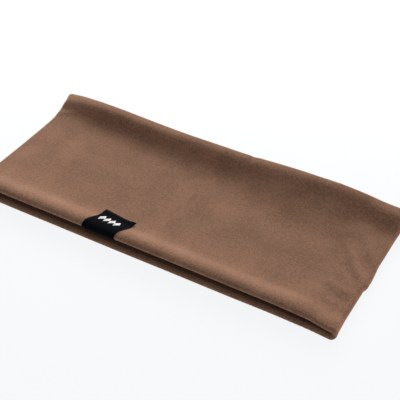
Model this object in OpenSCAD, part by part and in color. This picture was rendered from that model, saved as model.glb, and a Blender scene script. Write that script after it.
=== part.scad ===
// Wide double-layer stretch headband, lying folded flat on its back wall.
// X runs along the folded band, Y across its width from the near edge to the
// far edge, and Z up. The origin is under the middle of the back wall.
// The band is a closed loop. A front wall lies over a back wall, and a fold
// joins them at each end. Each wall is an outer ply and a lining ply, seamed
// together along both long edges with the seam allowances turned inside.

/* [Band] */
// Length of the folded band
band_l = 235; // [190:1:260]
// Width of the band
band_w = 102; // [80:1:110]
// Thickness of one ply of fabric
ply_t = 0.8; // [0.6:0.05:0.9]
// Thickness of one wall
wall_t = 3; // [2.8:0.1:3.6]
// Gap between the front wall and the back wall
loop_gap = 1.8; // [1.5:0.1:3]

/* [Front wall] */
// How far the near edge of the front wall stands back from the back wall's
near_set_back = 1.5; // [0:0.1:3]
// Length of the far edge that curls up, measured over the curve
lip_run = 22; // [15:1:30]
// Angle that the far edge has turned up at its end
lip_angle = 50; // [20:1:55]

/* [Seams] */
// Width of the seam allowance inside each long edge
allowance_w = 6; // [4:0.5:8]
// Distance from one overlock stitch to the next
stitch_pitch = 4; // [3:0.5:8]
// Distance from the right end to the seam that closes the loop
join_from_end = 18; // [14:1:40]
// Length of the hand-sewn gap that the band was turned through
closing_l = 42; // [20:1:60]

/* [Label] */
// Width of the woven label along the edge
label_w = 22; // [15:0.5:30]
// Length of each leaf of the label, from the band's edge
leaf_l = 20; // [12:0.5:22]
// Thickness of the label
label_t = 0.5; // [0.3:0.05:0.6]
// Middle of the label along the band
label_x = -29; // [-60:1:60]

/* [Hidden] */

band_brown = [0.55, 0.41, 0.33];
lining_brown = [0.50, 0.37, 0.30];
thread_brown = [0.42, 0.31, 0.25];
label_black = [0.06, 0.06, 0.07];
mark_white = [0.93, 0.93, 0.91];

half_t = wall_t / 2;             // half of a wall's thickness
half_in = half_t - ply_t;        // half of the hollow between a wall's plies
back_z = half_t;                 // height of the back wall's middle plane
front_z = 1.5 * wall_t + loop_gap;  // height of the front wall's middle plane
fold_r = (front_z - back_z) / 2; // radius of the end folds at mid thickness
fold_x = band_l / 2 - fold_r - half_t;  // where the walls end and the folds start
part_gap = 0.3;                  // clearance between the front wall and the folds
lip_r = lip_run * 180 / (PI * lip_angle);  // radius of the lip's curve
lip_start = band_w - lip_run;    // where the lip starts, measured across the ply
near_y = -band_w / 2;
touch = 0.05;                    // gap left between pieces that are sewn together
arc_steps = 6;                   // points on each rounded edge of a wall
lip_steps = 8;                   // points along the lip
strip_steps = 6;                 // points across a seam allowance or a stitch
fold_steps = 12;                 // points around an end fold
allowance_half = half_in - 0.3;  // half of a seam allowance's thickness
thread_t = 0.18;                 // thickness of the sewing thread as laid
thread_w = 0.4;                  // width of the sewing thread as laid
stitch_reach = 4;                // how far an overlock stitch reaches from the raw edge

// ---- The shape of a wall --------------------------------------------------
// A wall is drawn in the plane of v, the distance across the ply from the near
// edge, and o, the height above the wall's middle plane.

// Middle plane of the front wall at v, as [y, z]
function front_mid(v) =
    v <= lip_start
        ? [near_y + near_set_back + v, front_z]
        : let (a = (v - lip_start) / lip_run * lip_angle)
          [near_y + near_set_back + lip_start + lip_r * sin(a),
           front_z + lip_r * (1 - cos(a))];

// Direction at right angles to the front wall at v, as [y, z]
function front_normal(v) =
    let (a = max(0, min(lip_angle, (v - lip_start) / lip_run * lip_angle)))
    [-sin(a), cos(a)];

// A point of the front wall or of the back wall, as [y, z]
function front_point(v, o) = front_mid(v) + o * front_normal(v);
function back_point(v, o) = [near_y + v, back_z - o];

// A line across a wall, h above its middle plane and rounded at both edges
function across(h) = concat(
    [for (i = [0 : arc_steps]) let (a = 90 * i / arc_steps)
        [half_t - h * cos(a), h * sin(a)]],
    [for (i = [0 : lip_steps - 1])
        [lip_start + (lip_run - half_t) * i / lip_steps, h]],
    [for (i = [0 : arc_steps]) let (a = 90 - 90 * i / arc_steps)
        [band_w - half_t + h * cos(a), h * sin(a)]]
);

// A straight line across part of a wall, from v1 to v2
function level(v1, v2, o) =
    [for (i = [0 : strip_steps]) [v1 + (v2 - v1) * i / strip_steps, o]];

// A ply or a strip is what lies between an upper line and a lower line
function turned_over(line) = [for (p = line) [p[0], -p[1]]];
function reversed(line) = [for (i = [len(line) - 1 : -1 : 0]) line[i]];
function strip(v1, v2, half) = [level(v1, v2, half), level(v1, v2, -half)];

outer_ply = [across(half_t), across(half_in)];
lining_ply = [turned_over(across(half_in)), turned_over(across(half_t))];

// Where a seam allowance starts and ends, measured from the band's edge
seam_edge = ply_t + 0.3;
raw_edge = seam_edge + allowance_w;
near_allowance = strip(seam_edge, raw_edge, allowance_half);
far_allowance = strip(band_w - raw_edge, band_w - seam_edge, allowance_half);

// Section of one overlock stitch, which wraps the allowance's raw edge
stitch_v = raw_edge - stitch_reach;
stitch_o = allowance_half + touch;
near_stitch = concat(
    level(stitch_v, raw_edge + touch, stitch_o),
    reversed(level(stitch_v, raw_edge + touch, -stitch_o)),
    level(stitch_v, raw_edge + touch + thread_t, -stitch_o - thread_t),
    reversed(level(stitch_v, raw_edge + touch + thread_t, stitch_o + thread_t))
);
far_stitch = [for (p = near_stitch) [band_w - p[0], p[1]]];

// Extrudes a [y, z] outline along X, from x1 to x2
module along_x(outline, x1, x2) {
    translate([x1, 0, 0])
        rotate([90, 0, 90])
            linear_extrude(height = x2 - x1)
                polygon(outline);
}

// The same for an outline in v and o, on the front wall or on the back wall
module front_piece(outline, x1, x2) {
    along_x([for (p = outline) front_point(p[0], p[1])], x1, x2);
}

module back_piece(outline, x1, x2) {
    along_x([for (p = outline) back_point(p[0], p[1])], x1, x2);
}

// The whole stretch of a ply or a strip in the front wall or in the back wall
module front_stretch(lines) {
    front_piece(concat(lines[0], reversed(lines[1])),
                -fold_x + part_gap, fold_x - part_gap);
}

module back_stretch(lines) {
    back_piece(concat(lines[0], reversed(lines[1])), -fold_x, fold_x);
}

// ---- The end folds ---------------------------------------------------------

// A point of the fold at angle a, -90 at the back wall and 90 at the front wall
function fold_point(v, o, a) =
    let (
        f = front_mid(v),
        b = back_point(v, 0),
        n = front_normal(v),
        lean = max(0, sin(a)),
        rise = (f[1] - b[1]) / 2
    )
    [
        fold_x + (fold_r + o) * cos(a),
        b[0] + (f[0] - b[0]) * (1 + sin(a)) / 2 + o * n[0] * lean,
        b[1] + rise + (rise + o * (a > 0 ? n[1] : 1)) * sin(a)
    ];

// Sweeps a ply or a strip round the right-hand end of the band
module right_end(lines) {
    m = len(lines[0]);
    ring = 2 * m;
    points = [for (k = [0 : fold_steps], p = concat(lines[0], lines[1]))
        fold_point(p[0], p[1], -90 + 180 * k / fold_steps)];
    top_and_bottom = [for (k = [0 : fold_steps - 1], i = [0 : m - 2])
        let (t = k * ring + i, l = t + m, T = t + ring, L = l + ring)
        each [[t, T, T + 1], [t, T + 1, t + 1],
              [l, l + 1, L + 1], [l, L + 1, L]]];
    edges = [for (k = [0 : fold_steps - 1])
        let (t = k * ring, l = t + m, e = m - 1)
        each [[t, l, l + ring], [t, l + ring, t + ring],
              [t + e, t + e + ring, l + e + ring], [t + e, l + e + ring, l + e]]];
    ends = [for (i = [0 : m - 2])
        let (t = i, l = m + i, T = fold_steps * ring + i, L = T + m)
        each [[t, t + 1, l + 1], [t, l + 1, l],
              [T, L, L + 1], [T, L + 1, T + 1]]];
    polyhedron(points = points, faces = concat(top_and_bottom, edges, ends));
}

module left_end(lines) { mirror([1, 0, 0]) right_end(lines); }

// ---- Fabric ----------------------------------------------------------------

module back_outer_ply() { color(band_brown) back_stretch(outer_ply); }
module back_lining_ply() { color(lining_brown) back_stretch(lining_ply); }
module left_fold_outer_ply() { color(band_brown) left_end(outer_ply); }
module left_fold_lining_ply() { color(lining_brown) left_end(lining_ply); }
module right_fold_outer_ply() { color(band_brown) right_end(outer_ply); }
module right_fold_lining_ply() { color(lining_brown) right_end(lining_ply); }
module front_outer_ply() { color(band_brown) front_stretch(outer_ply); }
module front_lining_ply() { color(lining_brown) front_stretch(lining_ply); }

// ---- Seams inside the walls ------------------------------------------------

join_x = band_l / 2 - join_from_end;   // where the loop is closed, in the back wall
join_half_w = 6;                       // half the width of the pressed-open join seam

module front_near_seam_allowance() { color(lining_brown) front_stretch(near_allowance); }
module front_far_seam_allowance() { color(lining_brown) front_stretch(far_allowance); }
module back_near_seam_allowance() { color(lining_brown) back_stretch(near_allowance); }
module back_far_seam_allowance() { color(lining_brown) back_stretch(far_allowance); }

module fold_seam_allowances() {
    color(lining_brown)
        for (lines = [near_allowance, far_allowance]) {
            left_end(lines);
            right_end(lines);
        }
}

// A row of overlock stitches along a wall, between its two ends
stitch_count = floor((2 * fold_x - 6) / stitch_pitch);
function stitch_at(i) = (i - (stitch_count - 1) / 2) * stitch_pitch - thread_w / 2;

module front_overlock(stitch) {
    for (i = [0 : stitch_count - 1])
        front_piece(stitch, stitch_at(i), stitch_at(i) + thread_w);
}

module back_overlock(stitch) {
    for (i = [0 : stitch_count - 1])
        back_piece(stitch, stitch_at(i), stitch_at(i) + thread_w);
}

module front_near_overlock_thread() { color(thread_brown) front_overlock(near_stitch); }
module front_far_overlock_thread() { color(thread_brown) front_overlock(far_stitch); }
module back_near_overlock_thread() { color(thread_brown) back_overlock(near_stitch); }
module back_far_overlock_thread() { color(thread_brown) back_overlock(far_stitch); }

// The join seam's two allowances, pressed open to left and right of the join
join_v1 = raw_edge + 1;                // clear of the near overlock
join_v2 = band_w - join_v1;            // clear of the far overlock
join_slit = 0.3;                       // gap between the two pressed-open halves

module join_seam_allowance() {
    color(lining_brown)
        for (s = [-1, 1]) {
            near_end = s < 0 ? join_x - join_half_w : join_x + join_slit;
            far_end = s < 0 ? join_x - join_slit : join_x + join_half_w;
            lines = strip(join_v1, join_v2, allowance_half);
            back_piece(concat(lines[0], reversed(lines[1])), near_end, far_end);
        }
}

// Straight stitches that hold the join's allowances down, one row each side
join_pitch = 3;
join_stitch_l = 2;
module join_seam_thread() {
    count = floor((join_v2 - join_v1) / join_pitch) - 1;
    color(thread_brown)
        for (s = [-1, 1], i = [0 : count - 1])
            translate([join_x + s * join_half_w / 2 - thread_w / 2,
                       near_y + join_v1 + join_pitch * (i + 0.5),
                       back_z + allowance_half + touch])
                cube([thread_w, join_stitch_l, thread_t]);
}

// Slip stitches on the near edge of the back wall, which close the turning gap
closing_pitch = 3;
closing_h = 0.9;                       // height of one slip stitch over the edge
closing_d = 0.25;                      // how far it stands off the edge
module closing_stitches() {
    count = floor(closing_l / closing_pitch);
    color(thread_brown)
        for (i = [0 : count - 1])
            translate([fold_x - closing_l + closing_pitch * i,
                       near_y - closing_d, back_z - closing_h / 2])
                cube([thread_w, closing_d, closing_h]);
}

// ---- Label -----------------------------------------------------------------

leaf_in = half_t + touch;              // height of the label's inner face
leaf_out = leaf_in + label_t;          // height of the label's outer face

// The strip in v and o: front leaf, round the near edge, back leaf
function bend(r) = [for (i = [0 : 2 * arc_steps]) let (a = 90 + 90 * i / arc_steps)
    [half_t + r * cos(a), r * sin(a)]];
label_section = concat(
    [[leaf_l, leaf_out]], bend(leaf_out), [[leaf_l, -leaf_out]],
    [[leaf_l, -leaf_in]], reversed(bend(leaf_in)), [[leaf_l, leaf_in]]
);

module label_strip() {
    color(label_black)
        front_piece(label_section, label_x - label_w / 2, label_x + label_w / 2);
}

// A woven row of plain diamonds on the front leaf
mark_count = 4;
mark_w = 2.6;                          // width of one diamond
mark_h = 3;                            // height of one diamond
mark_pitch = 3;                        // distance from one diamond to the next
mark_v = 10.5;                         // the row's distance from the band's edge
mark_t = 0.1;                          // how far the white yarn stands proud

module label_woven_mark() {
    color(mark_white)
        for (i = [0 : mark_count - 1])
            translate([label_x + (i - (mark_count - 1) / 2) * mark_pitch,
                       front_point(mark_v, 0)[0], front_z + leaf_out])
                linear_extrude(height = mark_t)
                    polygon([[mark_w / 2, 0], [0, mark_h / 2],
                             [-mark_w / 2, 0], [0, -mark_h / 2]]);
}

// A row of stitches along the end of one leaf; the side is 1 or -1
label_stitch_pitch = 2.6;
label_stitch_l = 1.8;
label_stitch_v = leaf_l - 1.2;
module label_stitches(side) {
    count = floor((label_w - 2) / label_stitch_pitch);
    for (i = [0 : count - 1])
        translate([label_x + (i - (count - 1) / 2) * label_stitch_pitch
                       - label_stitch_l / 2,
                   front_point(label_stitch_v, 0)[0],
                   front_z + (side > 0 ? leaf_out : -leaf_out - thread_t)])
            cube([label_stitch_l, thread_w, thread_t]);
}

module label_front_stitches() { color(label_black) label_stitches(1); }
module label_back_stitches() { color(label_black) label_stitches(-1); }

back_outer_ply();
back_lining_ply();
left_fold_outer_ply();
left_fold_lining_ply();
right_fold_outer_ply();
right_fold_lining_ply();
front_outer_ply();
front_lining_ply();
front_near_seam_allowance();
front_far_seam_allowance();
back_near_seam_allowance();
back_far_seam_allowance();
front_near_overlock_thread();
front_far_overlock_thread();
back_near_overlock_thread();
back_far_overlock_thread();
fold_seam_allowances();
join_seam_allowance();
join_seam_thread();
closing_stitches();
label_strip();
label_woven_mark();
label_front_stitches();
label_back_stitches();
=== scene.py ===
"""A wide double-layer stretch headband, lying folded flat on a glossy white table.

The band is one closed loop of two plies. Its middle surface is worked out as a
grid: stations run once round the loop, and samples run across the band's width.
Everything sewn into the band is placed on that surface. Lengths are in
millimetres until a mesh is made. In names, k counts stations, v is the distance
from the near edge and w the distance from the far edge.
"""

import math

import bpy
import numpy as np
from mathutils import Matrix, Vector


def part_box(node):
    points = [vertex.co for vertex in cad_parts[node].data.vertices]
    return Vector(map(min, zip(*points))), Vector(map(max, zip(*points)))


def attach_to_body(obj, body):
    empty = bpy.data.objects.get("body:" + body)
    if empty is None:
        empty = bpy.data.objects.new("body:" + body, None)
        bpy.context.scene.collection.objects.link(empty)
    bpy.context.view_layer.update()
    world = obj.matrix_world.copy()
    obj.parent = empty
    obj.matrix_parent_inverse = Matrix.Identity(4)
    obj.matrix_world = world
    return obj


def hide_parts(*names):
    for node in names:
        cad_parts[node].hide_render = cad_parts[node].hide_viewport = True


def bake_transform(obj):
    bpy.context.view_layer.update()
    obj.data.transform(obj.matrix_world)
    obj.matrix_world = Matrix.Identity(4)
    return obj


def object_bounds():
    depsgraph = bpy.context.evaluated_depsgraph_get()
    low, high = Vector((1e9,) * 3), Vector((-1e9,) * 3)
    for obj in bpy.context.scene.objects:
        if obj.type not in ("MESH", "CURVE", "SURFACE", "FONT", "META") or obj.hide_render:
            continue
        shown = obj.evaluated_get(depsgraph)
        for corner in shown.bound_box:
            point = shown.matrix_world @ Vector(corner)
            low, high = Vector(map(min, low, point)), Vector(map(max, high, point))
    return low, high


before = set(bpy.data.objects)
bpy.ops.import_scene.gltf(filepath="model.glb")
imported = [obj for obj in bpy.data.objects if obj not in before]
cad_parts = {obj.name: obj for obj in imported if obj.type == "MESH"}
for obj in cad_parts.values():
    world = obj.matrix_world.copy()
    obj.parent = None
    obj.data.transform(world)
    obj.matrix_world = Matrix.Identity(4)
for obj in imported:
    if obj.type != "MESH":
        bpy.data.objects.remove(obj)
cad_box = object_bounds()

MM = 0.001

# ---- Sizes from the frame ---------------------------------------------------
CAD_LOW, CAD_HIGH = np.array(cad_box, float) / MM
HALF_L = (CAD_HIGH[0] - CAD_LOW[0]) / 2
NEAR_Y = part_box("front_outer_ply")[0][1] / MM
MIDDLE_Y = NEAR_Y + 46.5     # the line that wrinkles, waves and the camera are placed from
BACK_FAR_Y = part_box("back_outer_ply")[1][1] / MM
JOIN_LOW, JOIN_HIGH = np.array(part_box("join_seam_allowance"), float) / MM
JOIN_X = (JOIN_LOW[0] + JOIN_HIGH[0]) / 2
CLOSE_LOW, CLOSE_HIGH = np.array(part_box("closing_stitches"), float) / MM

# ---- Grid and thicknesses ---------------------------------------------------
FRONT_N = 236        # stations along the front wall
FOLD_N = 14          # stations round half an end fold
BACK_N = 118         # stations along the back wall
EDGE_N = 9           # samples round half a rolled edge
ACROSS_N = 108       # samples across the band, without the rolled edges
FRONT_W = 100.0      # width of the front wall, measured over its curve
EDGE_R = 1.8         # radius of a rolled edge
PANEL_HALF = 0.95    # half of a wall's thickness, away from the seams
FRONT_EDGE_HALF = 1.5          # half of the front wall's over the seam allowances
BACK_EDGE_HALF = 1.25          # and half of the back wall's
NEAR_PAD, NEAR_PAD_RUN = 15.0, 9.0       # how far the seam allowances thicken a wall at its
FAR_PAD, FAR_PAD_RUN = 13.0, 8.0         # near and far edge, and over what distance it fades
EDGE_FADE_N = 8      # stations over which the front wall's edge thins in an end fold
BACK_SHOWS = 1.6     # how far the back wall's near edge lies nearer than the front's
FOLD_R = 1.5         # how far an end fold stands out, at the middle of its thickness
INSET = FOLD_R + PANEL_HALF    # how far a wall ends before the end of the loop
LEFT_REACH = 2.6     # how much further the left end lies than the CAD model's
COLUMN, ROW = 0.46, 0.40       # width and height of a knitted stitch
ROLL = 2.4           # how far the outer ply rolls over the edges, onto the lining's side; further in, the lining is painted darker as shade inside the loop


def smooth(t):
    """0 up to t = 0, 1 from t = 1, and a smooth step between."""
    t = np.clip(t, 0.0, 1.0)
    return t * t * (3 - 2 * t)


def hump(t):
    """A smooth bump, 1 at t = 0 and nearly 0 at t = 2."""
    return np.exp(-t * t)


def curve(knots, x):
    """A smooth curve through knots, a list of (x, value), that never overshoots them."""
    kx, ky = (np.array(c, float) for c in zip(*knots))
    h = np.diff(kx)
    rate = np.diff(ky) / h
    before, after = rate[:-1], rate[1:]
    bends = before * after <= 0
    tangent = np.concatenate([
        rate[:1],
        np.where(bends, 0, 2 * before * after / np.where(bends, 1, before + after)),
        rate[-1:],
    ])
    x = np.clip(x, kx[0], kx[-1])
    i = np.clip(np.searchsorted(kx, x) - 1, 0, len(h) - 1)
    t = (x - kx[i]) / h[i]
    return (
        ky[i] + (ky[i + 1] - ky[i]) * smooth(t)
        + h[i] * t * (1 - t) * ((1 - t) * tangent[i] - t * tangent[i + 1])
    )


# ---- The band's middle surface ----------------------------------------------
edge_steps = EDGE_R * (1 - np.cos(np.linspace(0, math.pi / 2, EDGE_N)))
V = np.concatenate([
    edge_steps,
    np.linspace(EDGE_R, FRONT_W - EDGE_R, ACROSS_N)[1:-1],
    FRONT_W - edge_steps[::-1],
])
ALONG = np.linspace(-1, 1, FRONT_N)

# Slope of the front wall's middle surface, in degrees, by distance from its near edge
NEAR_SLOPE = [(0, 36), (1.2, 27), (2.4, 14), (3.6, 0), (5.5, -13), (8, -18.5), (11, -18),
              (15, -12), (21, -5), (30, -1), (45, 0), (108, 0)]
TROUGH_V = 56.0      # where the front wall sags lowest
TROUGH_Z = 4.2       # height of its middle surface there

# Slope of the lip, in degrees, by distance from the far edge: at the left end, in the
# middle, right of the middle and at the right end
LIP_LEFT = [(0, -7), (2.8, 0), (5, 9), (7, 26), (9, 46), (11, 48), (12.5, 36), (14, 22),
            (16.5, 12), (19.5, 7), (22.5, 4), (26, 1), (30, 0), (108, 0)]
LIP_MIDDLE = [(0, -8), (2.3, 0), (4.9, 14), (7.2, 26), (9.4, 35), (11.6, 38), (13.8, 30),
              (16.1, 21), (18.5, 16), (21, 11), (24, 6), (28, 1), (32, 0), (108, 0)]
LIP_RIGHT = [(0, -6), (2.5, 2), (5, 15), (8, 24), (12, 25), (16, 22), (20, 18), (25, 13),
             (31, 9), (38, 4), (46, 0), (108, 0)]
LIP_END = [(0, -5), (3, 3), (6, 10), (8, 18), (10, 25), (13, 28), (16, 22), (19, 10), (22, 1),
           (26, -3), (33, -2), (40, 0), (108, 0)]
# How much of the near edge's slope there is, and of the lip's, by place along the band
NEAR_LIFT = [(-118, 1.0), (20, 0.96), (60, 0.9), (95, 0.72), (118, 0.5)]
LIP_LIFT = [(-118, 0.55), (-106, 0.88), (-92, 1.05), (-75, 1.13), (-53, 1.08), (-10, 1.0),
            (118, 1.0)]
# How many times as wide as FRONT_W the front wall is pulled, by place along the band
WIDER = [(-118, 1.050), (-97, 1.052), (-60, 1.037), (-20, 1.018), (40, 1.014), (80, 1.013),
         (100, 1.029), (118, 1.034)]
# From where to where along the band each of the other slopes takes over
LIP_IS_RIGHT = (8.0, 58.0)
LIP_IS_LEFT = (0.0, -60.0)
LIP_IS_END = (76.0, 110.0)
# How far the near edge bows, by place along the band: inwards, or outwards if negative
NEAR_EDGE = [(-118, -1.7), (-95, -2.0), (-60, -1.6), (-20, -1.2), (20, -0.6), (60, -0.1),
             (85, 0.4), (104, 0.3), (118, -0.4)]
# The front wall settles onto the back wall at the ends: how far in from each end
# that starts, and how high its middle surface ends up
SETTLE_RUN, SETTLED_Z = 17.0, 3.1
SETTLE_SHARE = 0.8   # how much of the way down it goes, and less near both edges
# A pucker in the lip's edge: where it is, its half width and its depth
LIP_PUCKER_X, LIP_PUCKER_W, LIP_PUCKER_DEPTH = 20.0, 2.2, 0.45

# Wrinkles in the front wall: two ends, half width and height. Y counts from MIDDLE_Y
WRINKLES = [
    ((99, 16), (117, -6), 2.6, 0.5),
    ((104, 27), (119, 10), 3.2, 0.45),
    ((90, 20), (104, 36), 6.0, 0.5),
    ((103, 2), (113, -8), 3.2, -0.4),
    ((100, -15), (117, -17), 3.0, 0.35),
    ((104, -23), (116, -24), 3.0, -0.3),
    ((-118, 37), (-106, 42), 2.2, 0.45),
    ((-112, 4), (-96, -8), 7.0, -0.25),
    ((-90, 28), (-80, -12), 7.0, 0.22),
]


def swell(x, y):
    """Slow waves of the slack fabric, up to 0.3 mm high."""
    y = y - MIDDLE_Y
    return (
        0.10 * np.sin(x / 11.3 + 0.7 * np.sin(y / 17.0))
        + 0.09 * np.sin(y / 9.1 + x / 37.0 + 1.1)
        + 0.07 * np.sin(x / 6.7 - y / 8.3 + 2.0)
        + 0.05 * np.sin(x / 4.4 + y / 12.7 + 0.4)
    )


def ridge(x, y, end_a, end_b, half_width, height):
    """Height of one wrinkle at x, y. It fades out round both of its ends."""
    a, b = np.array(end_a, float), np.array(end_b, float)
    y = y - MIDDLE_Y
    d = b - a
    t = ((x - a[0]) * d[0] + (y - a[1]) * d[1]) / (d @ d)
    across = ((x - a[0]) * d[1] - (y - a[1]) * d[0]) / math.hypot(*d)
    return height * hump(across / half_width) * smooth(t / 0.4 + 0.5) * smooth((1.2 - t) / 0.4)


def front_middle():
    """The front wall's middle surface, as a grid of stations by samples."""
    x = ALONG[:, None] * HALF_L + 0 * V[None, :]
    v = V[None, :]
    w = FRONT_W - v
    lip = 0 * x + curve(LIP_MIDDLE, w)
    for knots, (start, end) in ((LIP_LEFT, LIP_IS_LEFT), (LIP_RIGHT, LIP_IS_RIGHT),
                                (LIP_END, LIP_IS_END)):
        share = smooth((x - start) / (end - start))
        lip += (curve(knots, w) - lip) * share
    slope = np.radians(lip * curve(LIP_LIFT, x) + curve(NEAR_SLOPE, v) * curve(NEAR_LIFT, x))
    step = np.diff(V)[None, :]
    half_way = (slope[:, 1:] + slope[:, :-1]) / 2
    y = np.zeros_like(x)
    z = np.zeros_like(x)
    step = step * curve(WIDER, x[:, 1:])
    y[:, 1:] = np.cumsum(np.cos(half_way) * step, axis=1)
    z[:, 1:] = np.cumsum(np.sin(half_way) * step, axis=1)
    y += NEAR_Y + curve(NEAR_EDGE, x)
    z += TROUGH_Z - z[:, [np.searchsorted(V, TROUGH_V)]]
    settle = smooth((abs(x) - HALF_L + SETTLE_RUN) / SETTLE_RUN)
    low = SETTLE_SHARE * smooth((w - 6) / 30) * (1 - 0.5 * smooth((16 - v) / 12))
    z += settle * low * (SETTLED_Z - z)
    z += smooth((w - 12) / 8) * smooth(v / 10) * swell(x, y)
    for wrinkle in WRINKLES:
        z += ridge(x, y, *wrinkle)
    pucker = hump((x - LIP_PUCKER_X) / LIP_PUCKER_W) * smooth((v - 90) / 8)
    z -= LIP_PUCKER_DEPTH * pucker
    return np.stack([x, y, z], axis=-1)


def back_middle(x_unit):
    """The back wall's middle surface, which lies flat on the table."""
    x = x_unit[:, None] * HALF_L + 0 * V[None, :]
    near = NEAR_Y - BACK_SHOWS + curve(NEAR_EDGE, x)
    y = near + V[None, :] / FRONT_W * (BACK_FAR_Y - near)
    z = PANEL_HALF + (BACK_EDGE_HALF - PANEL_HALF) * edge_swell(V)[None, :] + 0 * x
    return np.stack([x, y, z], axis=-1)


def edge_swell(v):
    """1 over the seam allowances and 0 between them."""
    near = smooth((NEAR_PAD - v) / NEAR_PAD_RUN)
    return near + smooth((v - FRONT_W + FAR_PAD) / FAR_PAD_RUN)


# Places of the back wall's stations, from 1 to -1. JOIN_N of them lie close together, up
# to JOIN_NEAR from the join seam, and the even ones stay JOIN_CLEAR away from it
JOIN_NEAR, JOIN_CLEAR, JOIN_N = 2.4, 2.8, 17
back_x = np.linspace(1, -1, BACK_N)
back_x = back_x[abs(back_x * (HALF_L - INSET) - JOIN_X) > JOIN_CLEAR]
near_join = (JOIN_X + np.linspace(-JOIN_NEAR, JOIN_NEAR, JOIN_N)) / (HALF_L - INSET)
back_x = np.sort(np.concatenate([back_x, near_join]))[::-1]

# A small step in the right end: where it starts and ends, from MIDDLE_Y, and each run
STEP_START, STEP_START_RUN, STEP_END, STEP_END_RUN = -8.0, 2.5, -1.0, 16.0
CORNER_OUT, CORNER_RUN = 0.5, 6.0        # how far the near right corner stands out


def end_fold(top, bottom, side):
    """Stations from top to bottom round the end at side, without their ends."""
    angles = np.linspace(math.pi / 2, -math.pi / 2, 2 * FOLD_N + 1)[1:-1]
    rise = top[:, 2] - bottom[:, 2]
    out = FOLD_R + 0.18 * np.maximum(rise - 2.5, 0)      # a tall fold stands out further
    if side > 0:
        y = top[:, 1] - MIDDLE_Y
        out = out + (smooth((y - STEP_START) / STEP_START_RUN)
                     * (1 - smooth((y - STEP_END) / STEP_END_RUN)))
        out = out + CORNER_OUT * (1 - smooth(V / CORNER_RUN))
    rows = []
    for a in angles:
        share = (1 + math.sin(a)) / 2
        row = bottom + (top - bottom) * share
        row[:, 0] = (top[:, 0] * share + bottom[:, 0] * (1 - share)
                     + side * out * math.cos(a))
        rows.append(row)
    return np.array(rows)


def closed_loop():
    """Front wall from left to right, right fold, back wall, left fold."""
    front, back = front_middle(), back_middle(back_x)
    # the left end lies further out below the lip, and furthest at the lip's edge
    further = LEFT_REACH + 1.2 * hump((V - 88) / 7) + 2.6 * smooth((V - FRONT_W + 7) / 7)
    for wall in (front, back):
        wall[..., 0] *= (HALF_L - INSET) / HALF_L
        wall[..., 0] -= further * smooth((-wall[..., 0] - 70) / 45)
    right = end_fold(front[-1], back[0], 1)
    left = end_fold(front[0], back[-1], -1)[::-1]
    return np.concatenate([front, right, back, left])


LOOP = closed_loop()
K_MIDDLE = FRONT_N // 2        # the front wall's middle, and its right end
K_FRONT_END = FRONT_N - 1
K_RIGHT = K_FRONT_END + FOLD_N           # the middles of the two end folds
K_LEFT = len(LOOP) - FOLD_N
K_BACK = K_FRONT_END + 2 * FOLD_N        # the back wall's right end
back_k = np.arange(K_BACK, K_BACK + len(back_x))
MIDDLE_LINE = LOOP[:, len(V) // 2]


def back_station(x):
    """The station where the back wall's middle line is at x."""
    return np.interp(-x, -MIDDLE_LINE[back_k, 0], back_k)


def normals_of(grid, closed):
    """Unit normals of a grid of points. Its stations may form a closed loop."""
    if closed:
        along = np.roll(grid, -1, axis=0) - np.roll(grid, 1, axis=0)
    else:
        along = np.gradient(grid, axis=0)
    across = np.gradient(grid, axis=1)
    n = np.cross(along, across)
    return n / np.maximum(np.linalg.norm(n, axis=-1, keepdims=True), 1e-12)


NORMAL = normals_of(LOOP, True)
GROOVE_DEPTH, GROOVE_W = 0.42, 0.55      # the join's groove: share of the wall, half width


def half_thickness():
    """Half of the wall's thickness at each grid point."""
    k = np.arange(len(LOOP))
    in_front = (smooth((K_FRONT_END + EDGE_FADE_N - k) / EDGE_FADE_N)
                + smooth((k - K_LEFT + EDGE_FADE_N) / EDGE_FADE_N))
    in_front = np.clip(in_front, 0, 1)[:, None]
    edge = BACK_EDGE_HALF + (FRONT_EDGE_HALF - BACK_EDGE_HALF) * in_front
    h = PANEL_HALF + (edge - PANEL_HALF) * edge_swell(V)[None, :]
    # the join seam draws the plies together in a groove
    from_join = MIDDLE_LINE[back_k, 0] - JOIN_X
    h[back_k] *= 1 - GROOVE_DEPTH * hump(from_join / GROOVE_W)[:, None]
    from_edge = np.minimum(V, FRONT_W - V)
    rim = np.clip(from_edge / EDGE_R, 0, 1)
    return h * np.sqrt(np.maximum(1 - (1 - rim) ** 2, 0))[None, :]


HALF_T = half_thickness()
OUTER = LOOP + NORMAL * HALF_T[..., None]
LINING = LOOP - NORMAL * HALF_T[..., None]
OUTER_N = normals_of(OUTER, True)
LINING_N = -normals_of(LINING, True)

# Distance round the loop at each station, for the fabric's own coordinates
round_steps = np.linalg.norm(np.diff(MIDDLE_LINE, axis=0), axis=1)
ROUND = np.concatenate([[0], np.cumsum(round_steps)])


# ---- Meshes -----------------------------------------------------------------
def add_mesh(name, points, faces, uvs=None, normals=None):
    """A smooth shaded mesh. Its points and fabric coordinates are in millimetres."""
    mesh = bpy.data.meshes.new(name)
    mesh.from_pydata((np.asarray(points) * MM).tolist(), [], faces)
    if uvs is not None:
        layer = mesh.uv_layers.new(name="fabric")
        index = np.zeros(len(mesh.loops), np.int32)
        mesh.loops.foreach_get("vertex_index", index)
        layer.data.foreach_set("uv", (np.asarray(uvs) * MM)[index].ravel())
    mesh.shade_smooth()
    mesh.update()
    if normals is not None:
        mesh.normals_split_custom_set_from_vertices(np.asarray(normals).tolist())
    obj = bpy.data.objects.new(name, mesh)
    bpy.context.scene.collection.objects.link(obj)
    return obj


def grid_faces(rows, cols, flip=False):
    """Faces between the points of a grid, counted row by row."""
    faces = []
    for i in range(rows - 1):
        for j in range(cols - 1):
            a = i * cols + j
            quad = (a, a + cols, a + cols + 1, a + 1)
            faces.append(quad[::-1] if flip else quad)
    return faces


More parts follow.
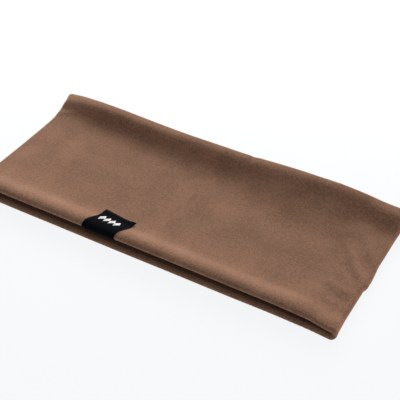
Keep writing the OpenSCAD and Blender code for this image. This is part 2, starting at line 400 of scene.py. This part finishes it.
def stations(first, last):
    """Station numbers from first to last, round the closed loop."""
    n = len(LOOP)
    if last < first:
        last += n
    return np.arange(first, last + 1) % n


SEGMENTS = {
    "front_left": stations(K_LEFT, K_MIDDLE),
    "front_right": stations(K_MIDDLE, K_RIGHT),
    "back": stations(K_RIGHT, K_LEFT),
}


def round_distance(segment):
    """Distance round the loop at each of a segment's stations, without a jump."""
    r = ROUND[segment].copy()
    total = ROUND[-1] + np.linalg.norm(MIDDLE_LINE[0] - MIDDLE_LINE[-1])
    for i in range(1, len(r)):
        if r[i] < r[i - 1]:
            r[i:] += total
            break
    return r


def ply_piece(name, surface, normals, segment, flip):
    """One segment of a ply, with coordinates that count round and across the band."""
    points = surface[segment]
    r = round_distance(segment)
    uv = np.stack(np.meshgrid(r, V, indexing="ij"), axis=-1)
    return add_mesh(
        name, points.reshape(-1, 3), grid_faces(*points.shape[:2], flip),
        uv.reshape(-1, 2), normals[segment].reshape(-1, 3),
    )


def attach(piece, segment_name):
    """Hangs a piece of the back wall on the back wall's body, and bakes any other piece's
    transform into its mesh.
    """
    if segment_name == "back":
        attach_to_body(piece, "back_wall")
        return
    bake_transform(piece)


# ---- Materials --------------------------------------------------------------
def new_material(name):
    """A material, its node tree and its shader."""
    material = bpy.data.materials.new(name)
    material.use_nodes = True
    tree = material.node_tree
    return material, tree, tree.nodes["Principled BSDF"]


def node(tree, kind, values=None, **settings):
    """A node with its settings, and its inputs set or linked by name or number."""
    n = tree.nodes.new(kind)
    for key, value in settings.items():
        setattr(n, key, value)
    for key, value in (values or {}).items():
        if isinstance(value, bpy.types.NodeSocket):
            tree.links.new(value, n.inputs[key])
        else:
            n.inputs[key].default_value = value
    return n


def maths(tree, operation, a, b=0.0, c=0.0):
    """The result of a maths operation on up to three values."""
    return node(tree, "ShaderNodeMath", {0: a, 1: b, 2: c}, operation=operation).outputs[0]


def fabric_uv(tree, scale_u, scale_v):
    """The fabric's own coordinates, in metres and then counted in repeats."""
    uv = node(tree, "ShaderNodeUVMap", uv_map="fabric").outputs[0]
    split = node(tree, "ShaderNodeSeparateXYZ", {0: uv})
    u = maths(tree, "MULTIPLY", split.outputs[0], scale_u)
    v = maths(tree, "MULTIPLY", split.outputs[1], scale_v)
    return uv, u, v


def noise(tree, vector, scale, detail=2.0, roughness=0.5):
    """Cloudy noise from 0 to 1, with scale features in a metre."""
    return node(tree, "ShaderNodeTexNoise",
                {"Vector": vector, "Scale": scale, "Detail": detail,
                 "Roughness": roughness}).outputs[0]


def ramp(tree, value, low, high, low_out, high_out):
    """The value, mapped from low and high to low_out and high_out, and kept within them."""
    return node(tree, "ShaderNodeMapRange",
                {0: value, 1: low, 2: high, 3: low_out, 4: high_out}).outputs[0]


def knit(tree, u, v):
    """Height of plain jersey stitches: columns of small V shapes."""
    column = maths(tree, "ABSOLUTE", maths(tree, "SUBTRACT", maths(tree, "FRACT", u), 0.5))
    slant = maths(tree, "MULTIPLY_ADD", column, 1.3, v)
    row = maths(tree, "SINE", maths(tree, "MULTIPLY", slant, math.tau))
    groove = maths(tree, "SINE", maths(tree, "MULTIPLY", column, math.tau))
    return maths(tree, "MULTIPLY_ADD", row, 0.45, groove)


def mixed_color(tree, share, first, second):
    """The first color with a share of the second one in it."""
    return node(tree, "ShaderNodeMix", {0: share, 6: first, 7: second},
                data_type="RGBA").outputs[2]


def two_tone(tree, tone, tones):
    """A color between a dark and a light tone."""
    dark, light = tones
    return mixed_color(tree, tone, (*dark, 1), (*light, 1))


def darker_and_lighter(color, dark, light):
    """Two tones of a color: dark and light times as bright as the color itself."""
    return [c * dark for c in color], [min(c * light, 1) for c in color]


def bump(tree, height, strength, distance, normal=None):
    """A bumped normal, on top of another one if it is given."""
    values = {"Strength": strength, "Distance": distance, "Height": height}
    if normal is not None:
        values["Normal"] = normal
    return node(tree, "ShaderNodeBump", values).outputs[0]


def jersey(name, tones, rolled_tones=None):
    """Brushed jersey, with other tones where the outer ply rolls over its edges, if given."""
    material, tree, shader = new_material(name)
    uv, u, v = fabric_uv(tree, 1 / (COLUMN * MM), 1 / (ROW * MM))
    stitches = knit(tree, u, v)
    cloud = noise(tree, uv, 60.0, 3.0)
    fuzz = noise(tree, uv, 420.0, 3.0, 0.6)
    grain = noise(tree, uv, 1000.0, 3.0, 0.75)
    tone = maths(tree, "MULTIPLY_ADD", cloud, 0.2, maths(tree, "MULTIPLY", grain, 0.6))
    tone = maths(tree, "MULTIPLY_ADD", fuzz, 0.2, tone)
    tone = ramp(tree, tone, 0.455, 0.545, -0.35, 1.35)
    mixed = two_tone(tree, tone, tones)
    # Near the edges the band's own tones show; the darker tones further in are painted shade
    # inside the loop
    if rolled_tones:
        from_middle = maths(tree, "ABSOLUTE", maths(
            tree, "MULTIPLY_ADD", v, ROW * MM, -FRONT_W / 2 * MM))
        inner = (FRONT_W / 2 - ROLL) * MM
        share = ramp(tree, from_middle, inner - 0.6 * MM, inner, 0.0, 1.0)
        mixed = mixed_color(tree, share, mixed, two_tone(tree, tone, rolled_tones))
    shade = ramp(tree, stitches, -0.5, 1.4, 0.90, 1.06)
    final = node(tree, "ShaderNodeVectorMath", {0: mixed, 1: shade},
                 operation="MULTIPLY").outputs[0]
    tree.links.new(final, shader.inputs["Base Color"])
    knitted = bump(tree, stitches, 0.35, 0.06 * MM)
    nap = bump(tree, grain, 0.6, 0.16 * MM, knitted)
    tree.links.new(nap, shader.inputs["Normal"])
    rough = ramp(tree, fuzz, 0.2, 0.8, 0.82, 0.98)
    tree.links.new(rough, shader.inputs["Roughness"])
    shader.inputs["Specular IOR Level"].default_value = 0.2
    shader.inputs["Sheen Weight"].default_value = 1.0
    shader.inputs["Sheen Roughness"].default_value = 0.45
    shader.inputs["Sheen Tint"].default_value = (0.62, 0.36, 0.235, 1)
    return material


def thread_material(name, color, sheen=0.3):
    """Spun thread or yarn, finely mottled."""
    material, tree, shader = new_material(name)
    coordinates = node(tree, "ShaderNodeTexCoord").outputs["Object"]
    twist = noise(tree, coordinates, 5000.0, 2.0)
    mixed = two_tone(tree, twist, darker_and_lighter(color, 0.7, 1.3))
    tree.links.new(mixed, shader.inputs["Base Color"])
    tree.links.new(bump(tree, twist, 0.5, 0.05 * MM), shader.inputs["Normal"])
    shader.inputs["Roughness"].default_value = 0.7
    shader.inputs["Sheen Weight"].default_value = sheen
    return material


def woven_tape(name, color):
    """Dense matt tape with fine weft ribs."""
    material, tree, shader = new_material(name)
    uv, u, v = fabric_uv(tree, 1 / (0.28 * MM), 1 / (0.22 * MM))
    warp = maths(tree, "SINE", maths(tree, "MULTIPLY", u, math.tau))
    shifted = maths(tree, "MULTIPLY_ADD", u, 0.5, v)
    weft = maths(tree, "SINE", maths(tree, "MULTIPLY", shifted, math.tau))
    weave = maths(tree, "MULTIPLY_ADD", warp, 0.4, weft)
    slub = noise(tree, uv, 900.0, 2.0)
    tone = ramp(tree, maths(tree, "MULTIPLY_ADD", slub, 1.5, weave), -1.0, 2.4, 0.0, 1.0)
    mixed = two_tone(tree, tone, darker_and_lighter(color, 0.6, 1.8))
    tree.links.new(mixed, shader.inputs["Base Color"])
    tree.links.new(bump(tree, weave, 0.5, 0.05 * MM), shader.inputs["Normal"])
    shader.inputs["Roughness"].default_value = 0.9
    shader.inputs["Specular IOR Level"].default_value = 0.03
    return material


BAND_TONES = (0.158, 0.080, 0.048), (0.242, 0.125, 0.078)
# The lining is the band's own jersey, painted darker as shade inside the loop
LINING_PAINTED_SHADE_TONES = (0.072, 0.036, 0.022), (0.118, 0.060, 0.038)
band_jersey = jersey("band jersey", BAND_TONES)
lining_jersey = jersey("lining jersey, painted shade", LINING_PAINTED_SHADE_TONES, BAND_TONES)
sewing_thread = thread_material("brown sewing thread", (0.16, 0.085, 0.055))
label_tape = woven_tape("black label tape", (0.0022, 0.0026, 0.0040))
label_thread = thread_material("black label thread", (0.003, 0.003, 0.004), 0.0)
label_yarn = thread_material("white label yarn", (0.93, 0.93, 0.92))


def dress(piece, material):
    """Gives a piece its material."""
    piece.data.materials.append(material)


# ---- The plies --------------------------------------------------------------
PLY_NODES = {
    "front_left": ("front_{}_ply",),
    "front_right": ("front_{}_ply",),
    "back": ("back_{}_ply", "left_fold_{}_ply", "right_fold_{}_ply"),
}
for ply, surface, normals, flip, material, slot in (
        ("outer", OUTER, OUTER_N, False, band_jersey, "band_jersey"),
        ("lining", LINING, LINING_N, True, lining_jersey, "lining_jersey")):
    for part, segment in SEGMENTS.items():
        piece = ply_piece(f"{ply}_ply_{part}", surface, normals, segment, flip)
        dress(piece, material)
        attach(piece, part)
        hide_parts(*[n.format(ply) for n in PLY_NODES[part]])
        length = np.ptp(round_distance(segment))


# ---- What is sewn inside the walls ------------------------------------------
def sample(grid, k, v):
    """The grid's value at station k and at v across, between its points."""
    k, v = np.broadcast_arrays(np.asarray(k, float), np.asarray(v, float))
    j = np.clip(np.searchsorted(V, v) - 1, 0, len(V) - 2)
    t = ((v - V[j]) / (V[j + 1] - V[j]))[..., None]
    i = np.floor(k).astype(int)
    s = (k - i)[..., None]
    i, n = i % len(grid), (i + 1) % len(grid)
    near = grid[i, j] * (1 - t) + grid[i, j + 1] * t
    far = grid[n, j] * (1 - t) + grid[n, j + 1] * t
    return near * (1 - s) + far * s


def place(k, v, above):
    """Points at station k, v across the band and above its middle surface."""
    above = np.asarray(above, float)
    return sample(LOOP, k, v) + sample(NORMAL, k, v) * above[..., None]


def strip_points(segment, v1, v2, half):
    """Rings of a flat strip along the band, from v1 to v2 and half thick each way."""
    corners = ((v1, half), (v2, half), (v2, -half), (v1, -half))
    return np.stack([place(segment, v, np.full(len(segment), o)) for v, o in corners], axis=1)


def bar_faces(rows, sides):
    """Faces of a closed bar of rows rings, with its two ends."""
    faces = []
    for i in range(rows - 1):
        for j in range(sides):
            a, b = i * sides + j, i * sides + (j + 1) % sides
            faces.append((a, b, b + sides, a + sides))
    faces.append(tuple(range(sides))[::-1])
    faces.append(tuple((rows - 1) * sides + j for j in range(sides)))
    return faces


def tube(points, radius, sides=5):
    """Rings round a path of points, and the faces between them."""
    points = np.asarray(points, float)
    along = np.gradient(points, axis=0)
    along /= np.maximum(np.linalg.norm(along, axis=1, keepdims=True), 1e-9)
    up = np.where(np.abs(along[:, 2:]) > 0.9, [[1.0, 0, 0]], [[0, 0, 1.0]])
    side = np.cross(along, up)
    side /= np.linalg.norm(side, axis=1, keepdims=True)
    other = np.cross(side, along)
    angles = np.arange(sides) * math.tau / sides
    rings = (points[:, None] + radius * (np.cos(angles)[None, :, None] * side[:, None]
                                         + np.sin(angles)[None, :, None] * other[:, None]))
    return rings.reshape(-1, 3), bar_faces(len(points), sides)


def joined(parts):
    """One set of points and faces from several."""
    points, faces, first = [], [], 0
    for p, f in parts:
        points.append(p)
        faces += [tuple(i + first for i in face) for face in f]
        first += len(p)
    return np.concatenate(points), faces


# Seam allowances: where they start, from the edge, their width and half thickness
ALLOWANCE_IN, ALLOWANCE_W, ALLOWANCE_HALF = 1.3, 6.0, 0.35
THREAD_R = 0.1
# Overlock stitches: how far apart they are, how far they reach in from the raw edge and
# stand out from it, and how much of the way to the next stitch they lean
OVERLOCK_PITCH, OVERLOCK_REACH, OVERLOCK_OVER, OVERLOCK_LEAN = 4.0, 3.6, 0.15, 0.2


def overlock(segment, raw, inward):
    """A thread that wraps an allowance's raw edge, stitch after stitch."""
    r = round_distance(segment)
    path = []
    lift = ALLOWANCE_HALF + THREAD_R
    inner, outer = raw + inward * OVERLOCK_REACH, raw - inward * OVERLOCK_OVER
    for d in np.arange(r[0] + 1, r[-1] - 1, OVERLOCK_PITCH):
        k = segment[0] + np.interp([d, d + OVERLOCK_PITCH * OVERLOCK_LEAN], r,
                                   np.arange(len(segment)))
        path += [(k[0], inner, lift), (k[0], outer, lift), (k[0], outer, -lift),
                 (k[0], inner, -lift), (k[1], inner, -lift), (k[1], outer, 0)]
    k, v, o = np.array(path).T
    return tube(place(k, v, o), THREAD_R)


for edge in ("near", "far"):
    seam, raw, inward = ALLOWANCE_IN, ALLOWANCE_IN + ALLOWANCE_W, -1
    if edge == "far":
        seam, raw, inward = FRONT_W - seam, FRONT_W - raw, 1
    for part, segment in SEGMENTS.items():
        wall = part.split("_")[0]
        points = strip_points(segment, *sorted((seam, raw)), ALLOWANCE_HALF)
        piece = add_mesh(f"{edge}_seam_allowance_{part}", points.reshape(-1, 3),
                         bar_faces(len(segment), 4))
        dress(piece, lining_jersey)
        attach(piece, part)
        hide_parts(f"{wall}_{edge}_seam_allowance",
                    *(["fold_seam_allowances"] if part == "back" else []))
        piece = add_mesh(f"{edge}_overlock_thread_{part}",
                         *overlock(segment, raw, inward))
        dress(piece, sewing_thread)
        attach(piece, part)
        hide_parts(f"{wall}_{edge}_overlock_thread")

# The join that closes the loop, in the back wall: how far its laps reach to each side,
# how far from the seam they start, and how far from the band's edges they end
JOIN_HALF_W, JOIN_SLIT, JOIN_V1 = 6.0, 0.3, 9.0
JOIN_PITCH = 3.0     # how far apart its stitches are
join_parts, dashes = [], []
join_v = np.linspace(JOIN_V1, FRONT_W - JOIN_V1, 60)
for side in (-1, 1):
    inner, outer = JOIN_X + side * JOIN_SLIT, JOIN_X + side * JOIN_HALF_W
    ring = [(back_station(x), o) for x, o in (
        (inner, ALLOWANCE_HALF), (outer, ALLOWANCE_HALF),
        (outer, -ALLOWANCE_HALF), (inner, -ALLOWANCE_HALF))]
    rings = np.stack([place(np.full_like(join_v, k), join_v, np.full_like(join_v, o))
                      for k, o in ring], axis=1)
    join_parts.append((rings.reshape(-1, 3), bar_faces(len(join_v), 4)))
    k = back_station(JOIN_X + side * JOIN_HALF_W / 2)
    for v in np.arange(JOIN_V1 + 1, FRONT_W - JOIN_V1 - 2, JOIN_PITCH):
        run = v + np.array([0, 0.7, 1.3, 2.0])
        lift = ALLOWANCE_HALF + np.array([0, 0.1, 0.1, 0])
        dashes.append(tube(place(np.full(4, k), run, lift), THREAD_R))
piece = add_mesh("join_seam_allowance_laps", *joined(join_parts))
dress(piece, lining_jersey)
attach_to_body(piece, "back_wall")
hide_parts("join_seam_allowance")
piece = add_mesh("join_seam_stitches", *joined(dashes))
dress(piece, sewing_thread)
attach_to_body(piece, "back_wall")
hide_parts("join_seam_thread")

# Slip stitches that close the turning gap, over the back wall's near edge
SLIP_PITCH = 3.0
slips = []
for x in np.arange(CLOSE_LOW[0], CLOSE_HIGH[0], SLIP_PITCH):
    k = back_station(x + np.array([0.0, 0.4, 0.8, 1.2]))
    v = np.array([0.15, 0.0, 0.0, 0.15])
    slips.append(tube(place(k, v, np.array([0.55, 0.2, -0.2, -0.55])), THREAD_R))
piece = add_mesh("closing_slip_stitches", *joined(slips))
dress(piece, sewing_thread)
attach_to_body(piece, "back_wall")
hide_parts("closing_stitches")

# ---- Label ------------------------------------------------------------------
LABEL_W = 21.7
LABEL_FRONT, LABEL_BACK = 19.8, 16.0     # length of each leaf, from the band's edge
LABEL_T = 0.5
LABEL_OFF = 0.08     # how far the label's underside stands off the jersey
# The share of its thickness that it has at its rim, and over what distance it thickens
LABEL_RIM, LABEL_RIM_RUN = 0.55, 0.9
LABEL_SKEW = 0.15    # how much longer the front leaf's left side is than its right side
# The front leaf's right corner: how far it curls along and up, its width and its length
CORNER_ALONG, CORNER_UP, CORNER_W, CORNER_L = 0.7, 0.9, 3.0, 2.2
LOOSE_UP, LOOSE_L = 0.25, 1.5            # how far the front leaf's end stands up, and its length
# Place of the label's left side along the band, by distance from the edge
LABEL_SIDE = [(-16, -38.0), (0, -38.0), (4, -37.9), (9, -36.4), (14, -35.4), (20, -35.3)]
# The front wall's skin, from the lining's far edge round the near edge to the outer ply's
CONTOUR = np.concatenate([LINING[:FRONT_N, ::-1], OUTER[:FRONT_N, 1:]], axis=1)
CONTOUR_N = normals_of(CONTOUR, False)
CONTOUR_X = OUTER[:FRONT_N, EDGE_N + 1, 0]
LABEL_MIDDLE_X = -28.0
label_row = int(np.argmin(np.abs(CONTOUR_X - LABEL_MIDDLE_X)))
steps = np.linalg.norm(np.diff(CONTOUR[label_row], axis=0), axis=1)
contour_b = np.concatenate([[0], np.cumsum(steps)])
contour_b -= contour_b[len(V) - 1]


def on_contour(x, b, lift):
    """A point on the front wall's skin: x along, b from the near edge, lift off it."""
    m = np.interp(b, contour_b, np.arange(len(contour_b)))
    k = np.interp(x, CONTOUR_X, np.arange(FRONT_N))
    i, j = np.floor(k).astype(int), np.floor(m).astype(int)
    i, j = np.clip(i, 0, FRONT_N - 2), np.clip(j, 0, len(contour_b) - 2)
    s, t = (k - i)[..., None], (m - j)[..., None]

    def mix(grid):
        low = grid[i, j] * (1 - t) + grid[i, j + 1] * t
        high = grid[i + 1, j] * (1 - t) + grid[i + 1, j + 1] * t
        return low * (1 - s) + high * s

    normal = mix(CONTOUR_N)
    normal /= np.linalg.norm(normal, axis=-1, keepdims=True)
    return mix(CONTOUR) + normal * lift[..., None]


def label_point(a, b, lift):
    """A point of the label: a across it from 0 to 1, b along it, lift off the band."""
    a, b, lift = (np.asarray(c, float) for c in np.broadcast_arrays(a, b, lift))
    b = b * np.where(b > 0, 1 + LABEL_SKEW * (1 - a), 1)
    x = curve(LABEL_SIDE, b) + a * LABEL_W
    from_end = LABEL_FRONT - b
    corner = hump((1 - a) * LABEL_W / CORNER_W) * hump(from_end / CORNER_L) * (b > 0)
    x = x + CORNER_ALONG * corner
    loose = LOOSE_UP * hump(from_end / LOOSE_L) * (1 + 0.5 * np.sin(a * 9))
    return on_contour(x, b, lift + CORNER_UP * corner + loose)


LABEL_A, LABEL_B = 34, 90      # samples across the label and along it
aa, bb = np.meshgrid(np.linspace(0, 1, LABEL_A),
                     np.linspace(-LABEL_BACK, LABEL_FRONT, LABEL_B))
rim = np.minimum(np.minimum(aa, 1 - aa) * LABEL_W,
                 np.minimum(bb + LABEL_BACK, LABEL_FRONT - bb))
thick = LABEL_RIM + (1 - LABEL_RIM) * smooth(rim / LABEL_RIM_RUN)
upper = label_point(aa, bb, LABEL_OFF + LABEL_T * thick)
lower = label_point(aa, bb, np.full_like(aa, LABEL_OFF))
top = upper.reshape(-1, 3)
uv = np.stack([aa * LABEL_W, bb], axis=-1).reshape(-1, 2)
faces = grid_faces(LABEL_B, LABEL_A, True)
under = [tuple(i + len(top) for i in f[::-1]) for f in faces]
# The samples round the label's rim, where its upper and lower sides meet
ring = ([(0, j) for j in range(LABEL_A)] + [(i, LABEL_A - 1) for i in range(1, LABEL_B)]
        + [(LABEL_B - 1, j) for j in range(LABEL_A - 2, -1, -1)]
        + [(i, 0) for i in range(LABEL_B - 2, 0, -1)])
ring = [i * LABEL_A + j for i, j in ring]
sides = [(p, q, q + len(top), p + len(top)) for p, q in zip(ring, ring[1:] + ring[:1])]
label = add_mesh("label_folded_tape", np.concatenate([top, lower.reshape(-1, 3)]),
                 faces + under + sides, np.concatenate([uv, uv]))
dress(label, label_tape)
attach(label, "front_left")
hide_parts("label_strip")

# The woven mark: a row of plain diamonds in satin stitch
MARK_N, MARK_PITCH, MARK_W, MARK_H = 4, 3.5, 3.4, 6.4
MARK_A, MARK_B = 0.45, 11.0    # the row's middle, across the label and along it
MARK_THREADS, YARN_R = 14, 0.11
marks = []
for i in range(MARK_N):
    centre = MARK_A * LABEL_W + (i - (MARK_N - 1) / 2) * MARK_PITCH
    for j in range(MARK_THREADS):
        t = (j + 0.5) / MARK_THREADS * 2 - 1
        half = MARK_H / 2 * (1 - abs(t))
        run = np.linspace(-1, 1, 5)
        across = centre + t * MARK_W / 2 + 0.05 * run
        lift = LABEL_OFF + LABEL_T + 0.10 * (1 - run**2) + 0.02
        marks.append(tube(label_point(across / LABEL_W, MARK_B + run * half, lift), YARN_R))
piece = add_mesh("label_woven_diamonds", *joined(marks))
dress(piece, label_yarn)
attach(piece, "front_left")
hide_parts("label_woven_mark")

# The stitches that hold each leaf, beside its end
LEAF_STITCH_IN, LEAF_STITCH_PITCH, LEAF_THREAD_R = 1.3, 2.4, 0.12
for leaf, sign, length in (("front", 1, LABEL_FRONT), ("back", -1, LABEL_BACK)):
    runs = []
    for start in np.arange(1.2, LABEL_W - 2.0, LEAF_STITCH_PITCH):
        across = start + np.array([0, 0.3, 0.9, 1.5, 1.8])
        along = np.full(5, sign * (length - LEAF_STITCH_IN))
        lift = LABEL_OFF + LABEL_T + np.array([-0.1, 0.06, 0.08, 0.06, -0.1])
        runs.append(tube(label_point(across / LABEL_W, along, lift), LEAF_THREAD_R))
    piece = add_mesh(f"label_{leaf}_leaf_stitches", *joined(runs))
    dress(piece, label_thread)
    attach(piece, "front_left")
    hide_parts(f"label_{leaf}_stitches")

# ---- Camera, light and table ------------------------------------------------
# Lengths from here on are in metres. The camera looks at TARGET from in front, to the right
AZIMUTH, ELEVATION, DISTANCE = math.radians(30.5), math.radians(40.4), 0.546
LENS, SENSOR = 82.4, 36.0      # in millimetres
TARGET = np.array([0.0035, MIDDLE_Y * MM + 0.0130, 0.0])
back_vector = np.array([
    math.sin(AZIMUTH) * math.cos(ELEVATION),
    -math.cos(AZIMUTH) * math.cos(ELEVATION),
    math.sin(ELEVATION),
])
camera = bpy.data.objects.new("camera", bpy.data.cameras.new("camera"))
camera.location = TARGET + back_vector * DISTANCE
camera.rotation_euler = (math.pi / 2 - ELEVATION, 0, AZIMUTH)
camera.data.lens = LENS
camera.data.sensor_width = SENSOR
bpy.context.scene.collection.objects.link(camera)
bpy.context.scene.camera = camera

LIGHT_COLOR = (1.0, 0.955, 0.90)
SKY_COLOR, SKY_STRENGTH = (0.93, 0.97, 1, 1), 0.46


def area_light(name, position, aim, size, power):
    """A rectangular light that shines from its position towards aim."""
    light = bpy.data.lights.new(name, "AREA")
    light.shape, light.energy = "RECTANGLE", power
    light.size, light.size_y = size
    light.color = LIGHT_COLOR
    obj = bpy.data.objects.new(name, light)
    obj.location = position
    direction = Vector(aim) - Vector(position)
    obj.rotation_euler = direction.to_track_quat("-Z", "Y").to_euler()
    bpy.context.scene.collection.objects.link(obj)


area_light("backdrop", (-0.50, 1.05, 0.50), (0, 0, 0), (1.5, 0.6), 25.0)
area_light("side fill", (1.2, 0.2, 0.15), (0.1, 0, 0), (0.8, 0.26), 5.0)

world = bpy.data.worlds.new("studio")
world.use_nodes = True
background = world.node_tree.nodes["Background"]
background.inputs["Color"].default_value = SKY_COLOR
background.inputs["Strength"].default_value = SKY_STRENGTH
bpy.context.scene.world = world

FLOOR_HALF = 3.0
corners = np.array([(-1, -1, 0), (1, -1, 0), (1, 1, 0), (-1, 1, 0)]) * FLOOR_HALF / MM
floor = add_mesh("table", corners, [(0, 1, 2, 3)])
material, tree, shader = new_material("white table")
shader.inputs["Base Color"].default_value = (0.06, 0.061, 0.063, 1)
shader.inputs["Roughness"].default_value = 0.45
shader.inputs["Specular IOR Level"].default_value = 0.05
shader.inputs["Emission Color"].default_value = (0.98, 0.99, 1, 1)
shader.inputs["Emission Strength"].default_value = 0.89
floor.data.materials.append(material)

bpy.context.scene.view_settings.view_transform = "Standard"
